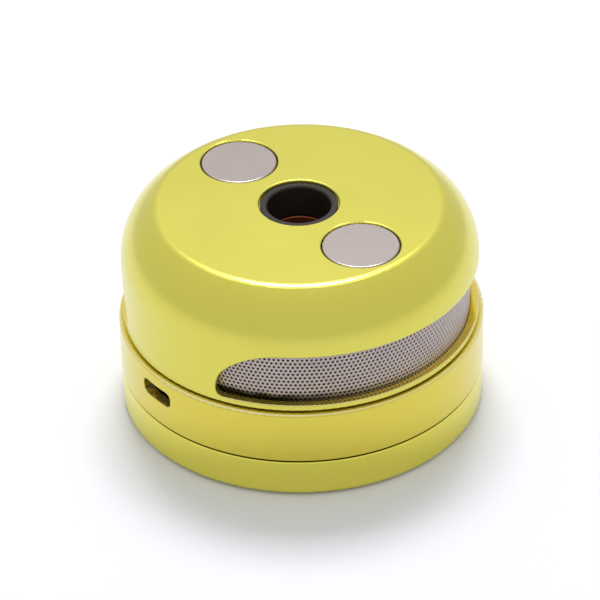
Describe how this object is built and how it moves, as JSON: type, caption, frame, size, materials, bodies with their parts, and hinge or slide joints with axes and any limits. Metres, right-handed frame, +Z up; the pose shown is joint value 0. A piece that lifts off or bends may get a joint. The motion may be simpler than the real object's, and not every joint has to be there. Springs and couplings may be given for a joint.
{
  "type": "glass grinder",
  "caption": "Palm-size round rechargeable grinder: a tube is pushed down a central guide bush onto a spinning cup; lift-off cap with screened side windows and two push buttons.",
  "frame": {"origin": "on the table, under the middle of the round body", "axes": "+Z up along the spindle; the charging opening faces -Y; the two buttons and the two side windows are centred on +X and -X"},
  "size_m": [0.078, 0.078, 0.0478],
  "materials": {
    "body": "lemon-yellow metallic lacquer, satin-gloss",
    "bush": "dark grey satin",
    "button": "satin silver with a warm tone, polished chamfer",
    "screen": "perforated sheet, satin",
    "board": "green solder mask",
    "steel": "plain bright steel",
    "magnet": "nickel plate",
    "ferrite": "dark sintered ferrite",
    "black_plastic": "moulded black",
    "white_plastic": "moulded off-white",
    "battery": "laminated foil pouch",
    "lead": "red sleeving",
    "foam": "dark foam tape",
    "aluminium": "turned aluminium",
    "gold": "gold-flashed pins",
    "rubber": "black rubber",
    "copper": "enamelled copper wire",
    "lamination": "laminated electrical steel",
    "bronze": "red-brown sintered bronze",
    "abrasive": "diamond grit in a resin bond"
  },
  "bodies": {
    "base": {"base_cover": "body", "battery_cell": "battery", "battery_connector": "white_plastic", "battery_leads": "lead", "battery_pad": "foam", "board_capacitors": "aluminium", "board_screws": "steel", "case_screws": "steel", "charger_chip": "black_plastic", "contact_pins": "gold", "contact_post": "black_plastic", "controller_chip": "black_plastic", "deck_magnets": "magnet", "driver_chip": "black_plastic", "lower_bearing": "steel", "main_board": "board", "middle_ring": "body", "motor_can": "aluminium", "motor_connector": "white_plastic", "motor_deck": "aluminium", "motor_leads": "lead", "motor_screws": "steel", "rubber_feet": "rubber", "stator_coils": "copper", "stator_core": "lamination", "upper_bearing": "steel", "usb_shell": "steel", "usb_tongue": "black_plastic"},
    "cap": {"top_cap": "body", "guide_bush": "bush", "screen_seat": "body", "screen_left": "screen", "screen_right": "screen", "switch_board": "board", "switch_board_screws": "steel", "cap_magnets": "magnet", "switch_housing_left": "black_plastic", "switch_housing_right": "black_plastic", "button_spring_left": "steel", "button_spring_right": "steel"},
    "button_left": {"button_left": "button", "switch_plunger_left": "black_plastic"},
    "button_right": {"button_right": "button", "switch_plunger_right": "black_plastic"},
    "spindle": {"spindle": "steel", "rotor_magnet": "ferrite", "slinger_fan": "black_plastic", "grinding_cup": "bronze", "abrasive_disc": "abrasive", "cup_screw": "steel"}
  },
  "joints": [
    {"name": "spindle_spin", "type": "hinge", "parent": "base", "child": "spindle", "pos_m": [0, 0, 0.03], "axis": [0, 0, 1], "continuous": true},
    {"name": "cap_lift", "type": "slide", "parent": "base", "child": "cap", "axis": [0, 0, 1], "range_m": [0, 0.032]},
    {"name": "button_left_press", "type": "slide", "parent": "cap", "child": "button_left", "axis": [0, 0, -1], "range_m": [0, 0.0006], "stiffness_N_per_m": 400, "springref_m": -0.001, "deforming": ["button_spring_left"]},
    {"name": "button_right_press", "type": "slide", "parent": "cap", "child": "button_right", "axis": [0, 0, -1], "range_m": [0, 0.0006], "stiffness_N_per_m": 400, "springref_m": -0.001, "deforming": ["button_spring_right"]}
  ]
}
